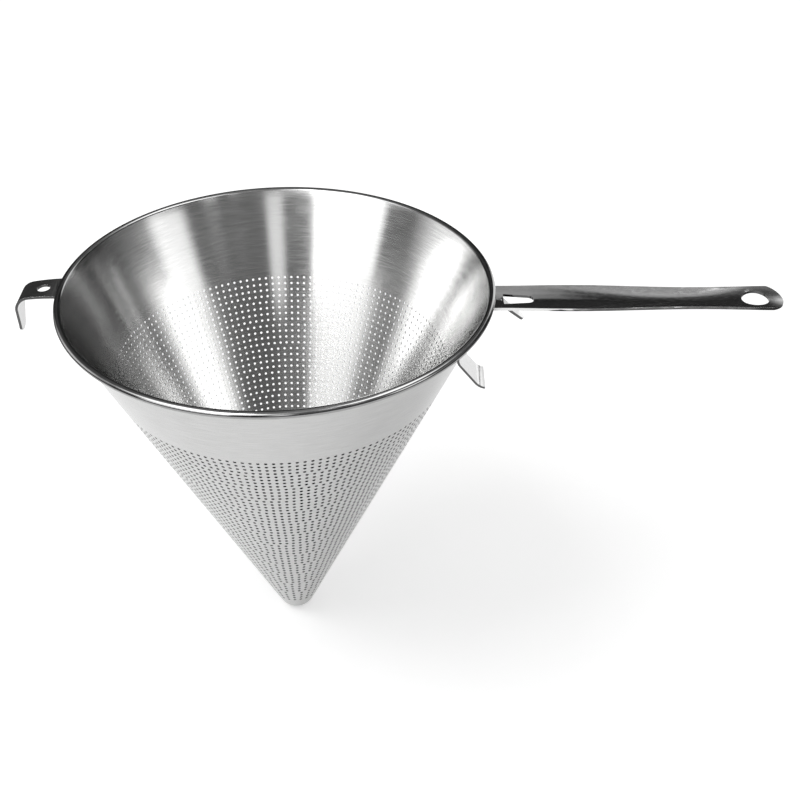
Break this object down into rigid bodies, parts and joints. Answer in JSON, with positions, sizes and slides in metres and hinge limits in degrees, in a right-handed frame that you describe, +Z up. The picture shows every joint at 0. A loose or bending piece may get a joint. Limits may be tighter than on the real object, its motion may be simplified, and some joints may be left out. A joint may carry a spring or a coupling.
{
  "type": "chinois strainer",
  "caption": "Deep conical perforated strainer with a rolled rim, a long pressed gutter handle, a rest hook opposite it and two rest tabs for hanging in a pot.",
  "frame": {"origin": "centre of the rim circle, level with the middle of the rolled bead", "axes": "+Z up, out of the cone's mouth; +X along the handle; the rest hook points along -X"},
  "size_m": [0.4235, 0.24, 0.2415],
  "materials": {
    "satin_steel": "satin, brushed round the cone",
    "wire_steel": "drawn wire, hidden in the rim",
    "polished_steel": "polished"
  },
  "bodies": {
    "root": {"cone": "satin_steel", "rim_wire": "wire_steel", "handle": "polished_steel", "rest_hook": "polished_steel", "rest_tab_front": "polished_steel", "rest_tab_rear": "polished_steel"}
  },
  "joints": []
}
